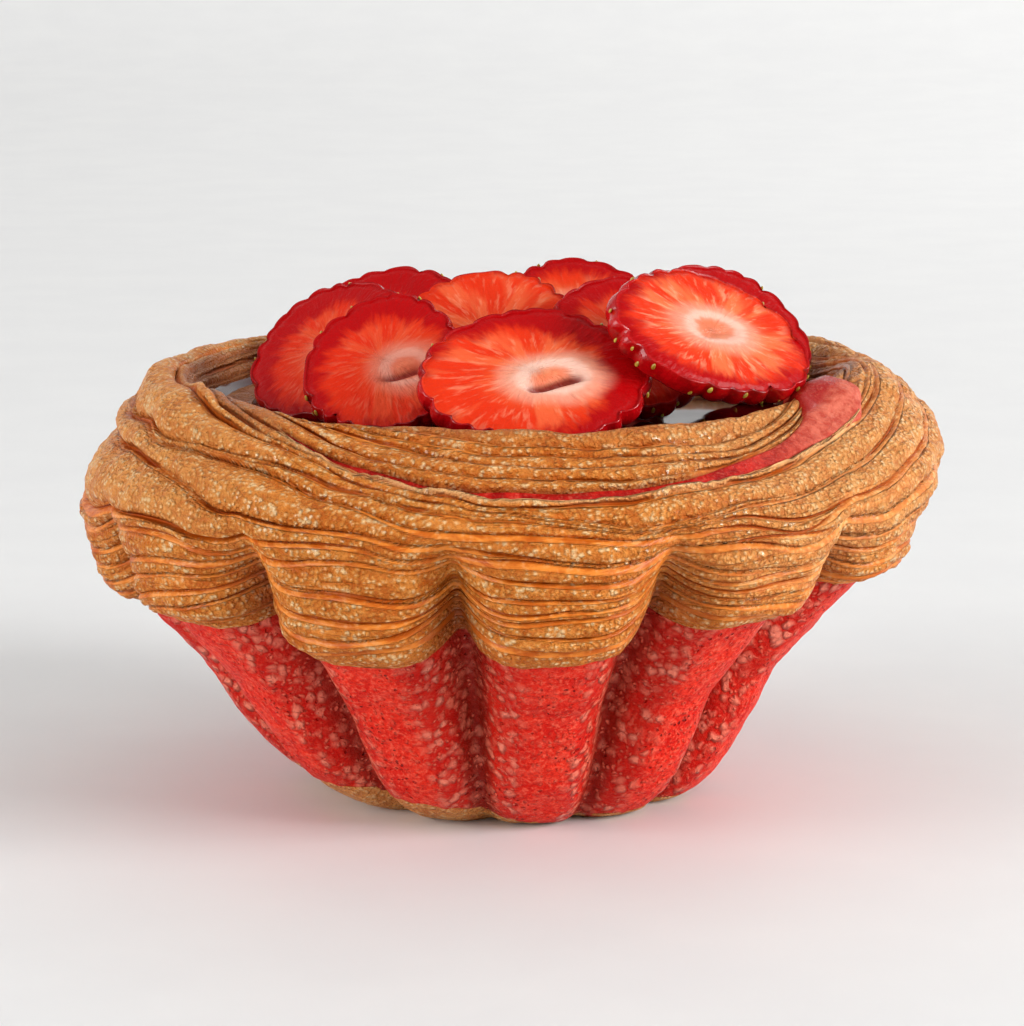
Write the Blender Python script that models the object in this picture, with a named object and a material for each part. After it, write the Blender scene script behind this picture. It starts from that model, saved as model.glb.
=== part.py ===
"""A strawberry danish: two turns of laminated dough baked in a fluted mould.

The dough rises over the mould's rim as a lobed collar, a red dough sheet lines the flutes and shows
again as a ribbon between the turns, and the cup holds dark jelly with slices of strawberry.
Metres, +Z up. The origin is the centre of the flat base. The front is -Y.
"""

import bmesh
import bpy
import math
import numpy as np
from mathutils import Matrix, Vector

# The fluted mould: 42 mm across its base, 12 flutes, sides flared about 43 degrees
FLUTES = 12
FLUTE_PHASE = math.radians(7)
BASE_CREST_R = 0.0210
BASE_VALLEY_R = 0.0186
CREST_FLARE = 0.93
VALLEY_FLARE = 0.70
BELLY = 0.0025
BELLY_TOP = 0.0165
LEAN_LEFT = 0.0014
LEAN_TOP = 0.032
RIGHT_STEEPER = 0.12
AROUND = 8 * FLUTES

# The red dough sheet on the outside of the flutes
SHEET_ACROSS = 0.0022
SHEET_CLEAR = 0.0006
LEDGE_CLEAR = 0.0004
BASE_CRUST = 0.0008
BASE_CRUST_TILT = 0.0026
CRUST_SHOWS_AT = math.radians(-52)
BASE_ROUNDING = 0.0003

# The collar: where the golden dough starts on each lobe, from the front one round by the right
EDGE_CRESTS = (0.0241, 0.0272, 0.0292, 0.0294, 0.0285, 0.0272, 0.0262, 0.0254, 0.0246, 0.0244, 0.0262, 0.0232)
EDGE_VALLEY_RISE = 0.0036
EDGE_STEP = 0.0005

# The collar's outside, (radius, height) on the left, in front and on the right: the lobes above the
# mould's rim, the widest swell, the shoulder, the outer crest, the top, the lip and the inner wall
COLLAR_RINGS = (
    ((0.0512, 0.0318), (0.0498, 0.0340), (0.0494, 0.0340)),
    ((0.0521, 0.0368), (0.0502, 0.0385), (0.0519, 0.0400)),
    ((0.0497, 0.0422), (0.0486, 0.0420), (0.0509, 0.0448)),
    ((0.0461, 0.0478), (0.0450, 0.0443), (0.0474, 0.0496)),
    ((0.0414, 0.0515), (0.0402, 0.0474), (0.0420, 0.0527)),
    ((0.0384, 0.0501), (0.0360, 0.0498), (0.0384, 0.0508)),
    ((0.0362, 0.0470), (0.0334, 0.0470), (0.0362, 0.0470)),
)
PINCH_R = 0.0450
PINCH_RISE = 0.0006
SWELL_DIP = 0.0010
SWELL_RISE = 0.0010
FRONT_MIDDLE = math.radians(10)
FRONT_FULL = math.radians(30)
FRONT_END = math.radians(78)
LAYERS = 10
INNER_LAYERS = 3
LAYER_DEPTH = 0.0008
FOLD_DEPTH = 0.0020
FOLDS_MIDDLE = math.radians(-75)
PROFILE_STEPS = 160

# The red ribbon, the edge of the inner turn's sheet, from the left wall to the tab on the right
RIBBON_START = math.radians(-38)
RIBBON_END = math.radians(68)
RIBBON_R = 0.0450
RIBBON_TAB_R = 0.0428
RIBBON_ENDS_R = 0.0376
RIBBON_ACROSS = 0.0014
TAB_ACROSS = 0.0052
GROOVE_DEPTH = 0.0018
RIBBON_CLEAR = 0.0005

# The jelly in the cup
JELLY_Z = 0.0470
JELLY_DEPTH = 0.0060
JELLY_CLEAR = 0.00035
CUP_TAPER = 0.0008

# The strawberry slices
SLICE_THICK = 0.0029
SLICE_POINTS = 36
SLICE_CRINKLES = 13
SLICE_CRINKLE = 0.022
SLICE_OVER_JELLY = 0.0003


def smooth(a, b, x):
    """0 below a, 1 above b, and a smooth ramp between."""
    t = np.clip((x - a) / (b - a), 0, 1)
    return t * t * (3 - 2 * t)


def turn_from(theta, middle):
    """The angle from middle to theta, between -pi and pi."""
    return (theta - middle + math.pi) % (2 * math.pi) - math.pi


def lobe(theta):
    """1 on the broad crest of a flute and 0 in the narrow valley between two."""
    return smooth(0.08, 1.0, np.abs(np.cos((theta - FLUTE_PHASE) * FLUTES / 2))) ** 0.6


def mould_r(theta, z):
    """Radius of the fluted outside at a height."""
    belly = BELLY * np.sin(math.pi * np.clip(z / BELLY_TOP, 0, 1) ** 0.6)
    lean = LEAN_LEFT * np.sin(math.pi * np.clip(z / LEAN_TOP, 0, 1))
    crest = BASE_CREST_R + CREST_FLARE * z
    valley = BASE_VALLEY_R + VALLEY_FLARE * z
    steeper = RIGHT_STEEPER * z * smooth(0.0, 1.0, np.sin(theta))
    return valley + (crest - valley) * lobe(theta) + belly - lean * np.sin(theta) - steeper


def edge_z(theta):
    """Height at which the golden dough meets the red sheet: low on the lobes, high in the valleys."""
    valley = (1 - lobe(theta)) ** 1.4
    lobes = (theta - FLUTE_PHASE) / (2 * math.pi / FLUTES)
    here = np.floor(lobes + 1e-9).astype(int) % FLUTES
    share = smooth(0.0, 1.0, lobes - np.floor(lobes + 1e-9))
    crests = np.array(EDGE_CRESTS)
    height = crests[here] * (1 - share) + crests[(here + 1) % FLUTES] * share
    return height + EDGE_VALLEY_RISE * valley


def front_share(theta):
    """1 in front, where the inner turn laps over the rim, and 0 at the sides and back."""
    return 1 - smooth(FRONT_FULL, FRONT_END, np.abs(turn_from(theta, FRONT_MIDDLE)))


def through_points(points, steps):
    """A smooth curve through points[:, k], the same number of steps in each span (Catmull-Rom)."""
    first = 2 * points[:, :1] - points[:, 1:2]
    last = 2 * points[:, -1:] - points[:, -2:-1]
    p = np.concatenate([first, points, last], axis=1)
    spans = points.shape[1] - 1
    at = np.linspace(0, spans, steps)
    k = np.minimum(at.astype(int), spans - 1)
    t = (at - k)[None, :, None]
    a, b, c, d = p[:, k], p[:, k + 1], p[:, k + 2], p[:, k + 3]
    return 0.5 * (2 * b + (c - a) * t + (2 * a - 5 * b + 4 * c - d) * t**2
                  + (3 * b - a - 3 * c + d) * t**3)


def collar_profile(theta):
    """Points (r, z) up the outside of the collar, over its crest and down to the jelly, for each theta."""
    valley = 1 - smooth(0.05, 1.0, np.abs(np.cos((theta - FLUTE_PHASE) * FLUTES / 2))) ** 0.5
    front = front_share(theta)[:, None]
    right = (0.5 + 0.5 * np.sin(theta))[:, None]
    shape = np.array(COLLAR_RINGS)
    side = shape[:, None, 0] + (shape[:, None, 2] - shape[:, None, 0]) * right
    rings = side + (shape[:, None, 1] - side) * front
    uneven = 0.0005 * np.sin(2 * theta + 1.0) + 0.0004 * np.sin(3 * theta + 2.2)
    rings[0, :, 0] += (PINCH_R - rings[0, :, 0]) * valley
    rings[0, :, 1] += PINCH_RISE * valley
    rings[1, :, 0] -= SWELL_DIP * valley
    rings[1, :, 1] += SWELL_RISE * valley
    rings[1:4, :, 0] += uneven / 2
    z0 = edge_z(theta)
    r0 = mould_r(theta, z0) + EDGE_STEP
    bulge = 0.72 - 0.17 * valley
    start = np.stack([r0, z0], -1)
    under = np.stack([r0 + bulge * (rings[0, :, 0] - r0), z0 + 0.28 * (rings[0, :, 1] - z0)], -1)
    return through_points(np.stack([start, under, *rings], 1), PROFILE_STEPS)


class Collar:
    """The collar's surface, read by theta and by the share of the way along its profile."""

    def __init__(self, theta):
        self.theta = theta
        self.line = collar_profile(theta)
        step = np.linalg.norm(np.diff(self.line, axis=1), axis=2)
        self.along = np.concatenate([np.zeros((len(theta), 1)), np.cumsum(step, 1)], 1)
        self.length = self.along[:, -1]
        self.ribbon = self.where_ribbon()

    def where_ribbon(self):
        """Length along each profile at which the ribbon lies, found from its radius past the widest."""
        a = self.around()
        away = np.maximum(smooth(RIBBON_END, RIBBON_END + 0.7, a), smooth(0.1, 1.2, -a))
        middle = RIBBON_R + (RIBBON_TAB_R - RIBBON_R) * smooth(0.3, 0.9, a)
        radius = middle + (RIBBON_ENDS_R - middle) * away
        found = []
        for i, r in enumerate(radius):
            past = np.argmax(self.line[i, :, 0])
            found.append(np.interp(-r, -self.line[i, past:, 0], self.along[i, past:]))
        return np.array(found)

    def around(self):
        return turn_from(self.theta, 0)

    def at(self, length, depth=0.0):
        """Points (r, z) at a length along each profile, moved in by depth along the surface's normal."""
        point, ahead = (self.read(length + d) for d in (0.0, 0.0002))
        behind = self.read(length - 0.0002)
        tangent = ahead - behind
        tangent /= np.linalg.norm(tangent, axis=1, keepdims=True)
        inward = np.stack([-tangent[:, 1], tangent[:, 0]], -1)
        return point + inward * np.reshape(depth, (-1, 1))

    def read(self, length):
        length = np.broadcast_to(length, self.theta.shape)
        return np.stack([
            [np.interp(length[i], self.along[i], self.line[i, :, k]) for i in range(len(self.theta))]
            for k in (0, 1)
        ], -1)


def ring(theta, rz):
    """The points (r, z) set out round the axis, theta running from the front to the right."""
    return np.stack([rz[:, 0] * np.sin(theta), -rz[:, 0] * np.cos(theta), rz[:, 1]], -1)


def flat(theta, r, z):
    return ring(theta, np.stack(np.broadcast_arrays(r, z), -1))


def ribbon_span(collar):
    """How strong the ribbon is at each theta, and how wide: thin on the left, a broad tab on the right."""
    a = collar.around()
    strength = smooth(RIBBON_START - 0.12, RIBBON_START + 0.12, a)
    strength = strength * (1 - smooth(RIBBON_END - 0.06, RIBBON_END + 0.10, a))
    thin = 0.55 + 0.45 * smooth(-0.8, 0.1, a)
    tab = smooth(math.radians(30), RIBBON_END, a)
    return strength, RIBBON_ACROSS * thin + (TAB_ACROSS - RIBBON_ACROSS) * tab


def mesh_object(name, points, faces, material):
    mesh = bpy.data.meshes.new(name)
    mesh.from_pydata([tuple(p) for p in points], [], faces)
    mesh.validate()
    mesh.materials.append(material)
    mesh.shade_smooth()
    mesh.set_sharp_from_angle(angle=math.radians(50))
    obj = bpy.data.objects.new(name, mesh)
    bpy.context.scene.collection.objects.link(obj)
    return obj


def ringed_solid(name, rings, material, closed=False):
    """A solid from rings of equal count: capped at both ends, or joined end to end if closed."""
    n = len(rings[0])
    pairs = len(rings) if closed else len(rings) - 1
    faces = []
    for j in range(pairs):
        low, high = j * n, (j + 1) % len(rings) * n
        faces += [(low + i, low + (i + 1) % n, high + (i + 1) % n, high + i) for i in range(n)]
    if not closed:
        faces.append(tuple(reversed(range(n))))
        faces.append(tuple(range((len(rings) - 1) * n, len(rings) * n)))
    return mesh_object(name, np.concatenate(rings), faces, material)


def surface(name, colour, roughness, coat=0.0):
    material = bpy.data.materials.new(name)
    material.use_nodes = True
    shader = material.node_tree.nodes["Principled BSDF"]
    shader.inputs["Base Color"].default_value = (*colour, 1)
    shader.inputs["Roughness"].default_value = roughness
    shader.inputs["Coat Weight"].default_value = coat
    return material


def crust_top(theta):
    """Height of the golden crust that shows under the red sheet, more of it on the left."""
    shows = smooth(0.4, 1.0, np.cos(theta - CRUST_SHOWS_AT))
    return BASE_CRUST + BASE_CRUST_TILT * shows


def dough(theta, material):
    """Both turns of golden dough and the base, one baked piece, with a groove for the ribbon."""
    collar = Collar(theta)
    crust = crust_top(theta)
    edge = edge_z(theta)
    inset = SHEET_ACROSS + SHEET_CLEAR
    rings = [
        flat(theta, mould_r(theta, 0.0) - BASE_ROUNDING, 0.0),
        flat(theta, mould_r(theta, BASE_ROUNDING), BASE_ROUNDING),
        flat(theta, mould_r(theta, crust - LEDGE_CLEAR), crust - LEDGE_CLEAR),
    ]
    rings.append(flat(theta, mould_r(theta, crust - LEDGE_CLEAR) - inset, crust - LEDGE_CLEAR))
    for share in (0.35, 0.7):
        z = crust + share * (edge - crust)
        rings.append(flat(theta, mould_r(theta, z) - inset, z))
    rings.append(flat(theta, mould_r(theta, edge) - inset, edge))

    strength, across = ribbon_span(collar)
    half = strength * across / 2 + RIBBON_CLEAR
    outer_end, inner_start = collar.ribbon - half, collar.ribbon + half
    folds = smooth(0.1, 0.9, np.cos(theta - FOLDS_MIDDLE))
    for k in range(2 * LAYERS):
        layer = LAYER_DEPTH * (k % 2 == 0)
        fold = FOLD_DEPTH * (0.5 + 0.5 * math.cos(math.pi * k / 2)) ** 2
        depth = (layer + (fold - layer) * folds) * (k > 0)
        rings.append(ring(theta, collar.at(outer_end * k / (2 * LAYERS), depth)))
    bottom = strength * GROOVE_DEPTH
    rings += [
        ring(theta, collar.at(outer_end)),
        ring(theta, collar.at(outer_end + 0.0001, bottom)),
        ring(theta, collar.at(inner_start - 0.0001, bottom)),
        ring(theta, collar.at(inner_start)),
    ]
    left = collar.length - inner_start
    for k in range(1, 2 * INNER_LAYERS):
        depth = LAYER_DEPTH * 0.6 * (k % 2 == 0)
        rings.append(ring(theta, collar.at(inner_start + left * k / (2 * INNER_LAYERS), depth)))
    rim = collar.at(collar.length)
    rings += [
        ring(theta, rim),
        flat(theta, rim[:, 0] - CUP_TAPER, JELLY_Z - JELLY_DEPTH),
    ]
    return ringed_solid("dough", rings, material)


def red_sheet(theta, material):
    """The red sheet that lined the mould: a fluted skin round the dough, from the crust to the collar."""
    low = crust_top(theta)
    high = edge_z(theta) - LEDGE_CLEAR
    shares = (0.0, 0.25, 0.5, 0.75, 1.0)
    outside = [flat(theta, mould_r(theta, low + s * (high - low)), low + s * (high - low)) for s in shares]
    inside = [
        flat(theta, mould_r(theta, low + s * (high - low)) - SHEET_ACROSS, low + s * (high - low))
        for s in (1.0, 0.7, 0.35, 0.0)
    ]
    return ringed_solid("red_sheet", outside + inside, material, closed=True)


def ribbon(theta, material):
    """The edge of the inner turn's red sheet: a strip let into the groove, broad at its tab."""
    collar = Collar(theta)
    strength, across = ribbon_span(collar)
    half = strength * across / 2
    bottom = GROOVE_DEPTH * strength - LEDGE_CLEAR
    kept = np.flatnonzero(strength > 0.6)
    kept = kept[np.argsort(collar.around()[kept])]
    corners = [
        ring(theta, collar.at(collar.ribbon - half, bottom)),
        ring(theta, collar.at(collar.ribbon - half, -0.0001)),
        ring(theta, collar.at(collar.ribbon + half, -0.0001)),
        ring(theta, collar.at(collar.ribbon + half, bottom)),
    ]
    sections = [np.stack([c[i] for c in corners]) for i in kept[::-1]]
    return ringed_solid("red_ribbon", sections, material)


def jelly(theta, material):
    """The jelly up to its level, a disc that fills the cup."""
    rim = Collar(theta).line[:, -1, 0] - JELLY_CLEAR
    floor = JELLY_Z - JELLY_DEPTH + JELLY_CLEAR
    rings = [flat(theta, rim - CUP_TAPER, floor), flat(theta, rim, JELLY_Z)]
    return ringed_solid("jelly", rings, material)


def slice_outline(width, height, point, seed):
    """A lengthwise cut through a berry: an egg with a blunt tip and a crinkled skin."""
    at = np.linspace(0, 2 * math.pi, SLICE_POINTS, endpoint=False)
    egg = 1 - point * np.sin(at) * 0.5
    crinkle = 1 + SLICE_CRINKLE * np.cos(SLICE_CRINKLES * at + seed)
    x = width / 2 * np.cos(at) * egg * crinkle
    y = height / 2 * np.sin(at) * crinkle
    return np.stack([x, y], -1)


def berry_slice(name, spec, seed, material):
    """One slice: flat cut faces, a rounded skin between them, trimmed where it meets the jelly."""
    outline = slice_outline(spec["width"], spec["height"], spec["point"], seed)
    layers = ((0.955, 0.0), (1.0, 0.3), (0.985, 0.75), (0.93, 1.0))
    rings = []
    for scale, share in reversed(layers):
        rings.append(np.column_stack([outline * scale, np.full(SLICE_POINTS, -share * SLICE_THICK)]))
    obj = ringed_solid(name, rings, material)
    turn = Matrix.Rotation(math.radians(spec["face"]), 3, "Z")
    turn = turn @ Matrix.Rotation(math.pi / 2 - math.radians(spec["lean"]), 3, "X")
    turn = turn @ Matrix.Rotation(math.radians(spec["roll"]), 3, "Z")
    obj.location = spec["at"]
    obj.rotation_euler = turn.to_euler()
    shape = bmesh.new()
    shape.from_mesh(obj.data)
    level = Vector((0, 0, JELLY_Z + SLICE_OVER_JELLY))
    cut = bmesh.ops.bisect_plane(
        shape, geom=shape.verts[:] + shape.edges[:] + shape.faces[:], dist=1e-6,
        plane_co=turn.transposed() @ (level - Vector(spec["at"])),
        plane_no=turn.transposed() @ Vector((0, 0, 1)), clear_inner=True,
    )
    rim = [e for e in cut["geom_cut"] if isinstance(e, bmesh.types.BMEdge)]
    if rim:
        bmesh.ops.contextual_create(shape, geom=rim)
    bmesh.ops.recalc_face_normals(shape, faces=shape.faces[:])
    shape.to_mesh(obj.data)
    shape.free()
    return obj


# Where each slice stands: the middle of its front face, the way it faces (degrees from the front,
# right positive), how far it leans back, and how it is turned in its own plane
SLICES = {
    "slice_front": dict(at=(0.0026, -0.0236, 0.0540), face=6, lean=48, roll=2,
                        width=0.0272, height=0.0200, point=0.05),
    "slice_right": dict(at=(0.0232, -0.0182, 0.0582), face=34, lean=42, roll=-22,
                        width=0.0260, height=0.0174, point=0.10),
    "slice_left": dict(at=(-0.0149, -0.0166, 0.0545), face=-14, lean=44, roll=4,
                       width=0.0196, height=0.0200, point=0.08),
    "slice_far_left": dict(at=(-0.0217, -0.0056, 0.0547), face=-34, lean=46, roll=6,
                           width=0.0215, height=0.0215, point=0.10),
    "slice_mid": dict(at=(-0.0026, -0.0034, 0.0558), face=-2, lean=48, roll=-4,
                      width=0.0236, height=0.0215, point=0.06),
    "slice_mid_right": dict(at=(0.0140, -0.0090, 0.0560), face=14, lean=46, roll=-12,
                            width=0.0200, height=0.0205, point=0.08),
    "slice_back_left": dict(at=(-0.0158, 0.0120, 0.0546), face=-22, lean=48, roll=0,
                            width=0.0235, height=0.0220, point=0.08),
    "slice_back": dict(at=(0.0080, 0.0120, 0.0554), face=2, lean=48, roll=0,
                       width=0.0245, height=0.0220, point=0.06),
    "slice_back_right": dict(at=(0.0258, 0.0030, 0.0560), face=30, lean=44, roll=-20,
                             width=0.0240, height=0.0200, point=0.10),
}


def main():
    for obj in list(bpy.data.objects):
        bpy.data.objects.remove(obj, do_unlink=True)
    theta = FLUTE_PHASE + np.linspace(0, 2 * math.pi, AROUND, endpoint=False)
    golden = surface("golden_crust", (0.62, 0.34, 0.12), 0.55)
    red = surface("red_dough", (0.62, 0.05, 0.03), 0.5)
    dark = surface("dark_jelly", (0.10, 0.005, 0.01), 0.08, coat=1.0)
    flesh = surface("strawberry", (0.80, 0.10, 0.03), 0.25, coat=0.5)
    danish = bpy.data.objects.new("danish", None)
    bpy.context.scene.collection.objects.link(danish)
    pieces = [dough(theta, golden), red_sheet(theta, red), ribbon(theta, red), jelly(theta, dark)]
    for seed, (name, spec) in enumerate(SLICES.items()):
        pieces.append(berry_slice(name, spec, seed, flesh))
    for piece in pieces:
        piece.parent = danish


main()
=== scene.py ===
import math

import bpy
import numpy as np
from mathutils import Matrix, Vector


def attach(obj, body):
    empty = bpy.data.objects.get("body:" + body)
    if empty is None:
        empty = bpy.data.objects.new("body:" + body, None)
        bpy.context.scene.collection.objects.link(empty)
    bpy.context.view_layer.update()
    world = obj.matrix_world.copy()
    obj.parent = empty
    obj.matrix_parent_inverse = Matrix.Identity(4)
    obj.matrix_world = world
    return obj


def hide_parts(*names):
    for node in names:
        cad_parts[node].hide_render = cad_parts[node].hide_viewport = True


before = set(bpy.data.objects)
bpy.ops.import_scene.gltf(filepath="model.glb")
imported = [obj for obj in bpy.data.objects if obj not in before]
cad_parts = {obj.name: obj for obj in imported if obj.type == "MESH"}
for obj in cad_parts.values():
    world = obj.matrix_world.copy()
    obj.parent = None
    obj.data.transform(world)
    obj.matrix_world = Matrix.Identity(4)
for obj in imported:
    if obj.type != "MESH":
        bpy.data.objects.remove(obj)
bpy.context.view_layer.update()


# The studio: a white cove that sweeps up from the table all round, a broad soft lamp on the right, a
# weaker one on the left, one on the far sweep, and the camera a little above the pastry's rim.
COVE = ((0.0, 0.0), (0.9, 0.0), (1.3, 0.03), (1.62, 0.2), (1.78, 0.5), (1.8, 1.0), (1.8, 1.7))
COVE_COLUMNS = 96
COVE_ROWS = 61
COVE_SOFTENED = 14
PAPER = ((0.762, 0.762, 0.762), (0.792, 0.792, 0.787))
SKY = (1.0, 0.995, 0.985)
SKY_STRENGTH = 0.55
KEY_AT = (1.02, -0.47, 0.48)
KEY_SIZE = 0.6
KEY_WATTS = 14.0
LEFT_AT = (-1.00, -0.45, 0.32)
LEFT_SIZE = 0.7
LEFT_WATTS = 8.2
BACK_AT = (0.60, 0.75, 1.00)
BACK_AIM = (0.50, 1.70, 0.15)
BACK_SIZE = 0.6
BACK_WATTS = 6.0
CAMERA_AT = (0.0, -0.420, 0.108)
CAMERA_LOOKS_AT = (0.0, 0.0, 0.0335)
LENS = 123.2
SENSOR_WIDTH = 36.0
NEAREST_SEEN = 0.01


def grid_mesh(name, grid, joined, masks=None):
    """A smooth mesh over points [row, column]; each mask becomes an attribute its finish can read."""
    rows, columns = grid.shape[:2]
    index = np.arange(rows * columns).reshape(rows, columns)
    if joined:
        index = np.concatenate([index, index[:, :1]], axis=1)
    quads = np.stack([index[:-1, :-1], index[:-1, 1:], index[1:, 1:], index[1:, :-1]], -1).reshape(-1, 4)
    mesh = bpy.data.meshes.new(name)
    mesh.vertices.add(rows * columns)
    mesh.vertices.foreach_set("co", grid.astype(np.float32).reshape(-1))
    mesh.loops.add(quads.size)
    mesh.loops.foreach_set("vertex_index", quads.astype(np.int32).reshape(-1))
    mesh.polygons.add(len(quads))
    mesh.polygons.foreach_set("loop_start", np.arange(0, quads.size, 4, dtype=np.int32))
    mesh.update(calc_edges=True)
    mesh.shade_smooth()
    for mask, values in (masks or {}).items():
        spread = np.broadcast_to(values, (rows, columns)).astype(np.float32).reshape(-1)
        mesh.attributes.new(mask, "FLOAT", "POINT").data.foreach_set("value", spread)
    piece = bpy.data.objects.new(name, mesh)
    bpy.context.scene.collection.objects.link(piece)
    return piece


def smooth(a, b, x):
    """0 below a, 1 above b, and a smooth ramp between."""
    t = np.clip((x - a) / (b - a), 0, 1)
    return t * t * (3 - 2 * t)


def full_turn(steps):
    """Angles evenly spaced round a whole turn."""
    return np.linspace(0, 2 * math.pi, steps, endpoint=False)


class Wire:
    """One output of a finish's node; arithmetic on wires adds the Math nodes."""

    def __init__(self, finish, socket):
        self.finish = finish
        self.socket = socket

    def math(self, operation, *values):
        return self.finish.add("ShaderNodeMath", {"operation": operation}, dict(enumerate(values)))

    def __add__(self, other):
        return self.math("ADD", self, other)

    def __radd__(self, other):
        return self.math("ADD", other, self)

    def __sub__(self, other):
        return self.math("SUBTRACT", self, other)

    def __rsub__(self, other):
        return self.math("SUBTRACT", other, self)

    def __mul__(self, other):
        return self.math("MULTIPLY", self, other)

    def __rmul__(self, other):
        return self.math("MULTIPLY", other, self)

    def __truediv__(self, other):
        return self.math("DIVIDE", self, other)

    def __pow__(self, other):
        return self.math("POWER", self, other)

    def over(self, low, high):
        """0 where the wire is under low, 1 where it is over high, and a smooth ramp between."""
        settings = {"interpolation_type": "SMOOTHSTEP", "clamp": True}
        values = {"Value": self, 1: low, 2: high, 3: 0.0, 4: 1.0}
        return self.finish.add("ShaderNodeMapRange", settings, values)


class Finish:
    """A node material around one Principled BSDF."""

    def __init__(self, name):
        self.material = bpy.data.materials.new(name)
        self.material.use_nodes = True
        self.tree = self.material.node_tree
        self.shader = self.tree.nodes["Principled BSDF"]

    def feed(self, socket, value):
        if isinstance(value, Wire):
            self.tree.links.new(value.socket, socket)
        elif isinstance(value, tuple) and socket.type == "RGBA":
            socket.default_value = (*value, 1)[:4]
        else:
            socket.default_value = value

    def add(self, kind, settings, values, out=0):
        """Adds a node: its settings first, then the values or links of its sockets."""
        node = self.tree.nodes.new(kind)
        for key, value in settings.items():
            setattr(node, key, value)
        for key, value in values.items():
            self.feed(node.inputs[key], value)
        return Wire(self, node.outputs[out])

    def mask(self, name):
        """A mask that the mesh carries."""
        return self.add("ShaderNodeAttribute", {"attribute_name": name}, {}, "Fac")

    def mix(self, share, a, b):
        """Colour a where share is 0, and colour b where it is 1."""
        return self.add("ShaderNodeMix", {"data_type": "RGBA"}, {0: share, 6: a, 7: b}, 2)

    def place(self):
        return self.add("ShaderNodeTexCoord", {}, {}, "Object")

    def noise(self, scale, detail=3.0, rough=0.55, at=None):
        values = {"Vector": at or self.place(), "Scale": scale, "Detail": detail, "Roughness": rough}
        return self.add("ShaderNodeTexNoise", {}, values)

    def bubbles(self, scale, out="Distance", at=None):
        values = {"Vector": at or self.place(), "Scale": scale}
        return self.add("ShaderNodeTexVoronoi", {}, values, out)

    def bubble_tint(self, scale, at=None):
        """A random value for each of the bubbles of that scale."""
        colour = self.bubbles(scale, "Color", at)
        return self.add("ShaderNodeSeparateColor", {}, {"Color": colour}, "Red")

    def bump(self, height, far):
        values = {"Height": height, "Distance": far, "Strength": 1.0}
        return self.add("ShaderNodeBump", {}, values)

    def set(self, **values):
        """Sets or links sockets of the shader; Base_Color means Base Color."""
        for key, value in values.items():
            self.feed(self.shader.inputs[key.replace("_", " ")], value)
        return self.material


def facing(at, aim):
    """The turn that points a lamp or the camera from at to aim."""
    return (Vector(aim) - Vector(at)).to_track_quat("-Z", "Y").to_euler()


def lamp(name, at, size, watts, aim=(0, 0, 0.04)):
    light = bpy.data.lights.new(name, "AREA")
    light.shape = "DISK"
    light.size = size
    light.energy = watts
    obj = bpy.data.objects.new(name, light)
    obj.location = at
    obj.rotation_euler = facing(at, aim)
    bpy.context.scene.collection.objects.link(obj)


cove_turn = full_turn(COVE_COLUMNS)
cove_line = np.array(COVE)
cove_at = np.linspace(0, len(COVE) - 1, COVE_ROWS)
cove_fine = np.stack([np.interp(cove_at, range(len(COVE)), cove_line[:, k]) for k in (0, 1)], -1)
for _ in range(COVE_SOFTENED):
    cove_fine[1:-1] = (cove_fine[:-2] + 2 * cove_fine[1:-1] + cove_fine[2:]) / 4
cove_grid = np.stack([
    cove_fine[:, :1] * np.sin(cove_turn), -cove_fine[:, :1] * np.cos(cove_turn),
    np.repeat(cove_fine[:, 1:], len(cove_turn), 1),
], -1)
cove = grid_mesh("cove", cove_grid[::-1], True)
paper = Finish("white_paper")
paper_shade = paper.noise(40.0).over(0.2, 0.9)
cove.data.materials.append(paper.set(
    Base_Color=paper.mix(paper_shade, *PAPER), Roughness=0.6,
))

world = bpy.data.worlds.new("studio")
world.use_nodes = True
sky = world.node_tree.nodes["Background"]
sky.inputs["Color"].default_value = (*SKY, 1)
sky.inputs["Strength"].default_value = SKY_STRENGTH
bpy.context.scene.world = world
bpy.context.scene.view_settings.view_transform = "Standard"
lamp("key", KEY_AT, KEY_SIZE, KEY_WATTS)
lamp("left", LEFT_AT, LEFT_SIZE, LEFT_WATTS)
lamp("back", BACK_AT, BACK_SIZE, BACK_WATTS, BACK_AIM)

camera = bpy.data.objects.new("camera", bpy.data.cameras.new("camera"))
camera.location = CAMERA_AT
camera.rotation_euler = facing(CAMERA_AT, CAMERA_LOOKS_AT)
camera.data.sensor_width = SENSOR_WIDTH
camera.data.sensor_fit = "HORIZONTAL"
camera.data.lens = LENS
camera.data.clip_start = NEAREST_SEEN
bpy.context.scene.collection.objects.link(camera)
bpy.context.scene.camera = camera


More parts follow.
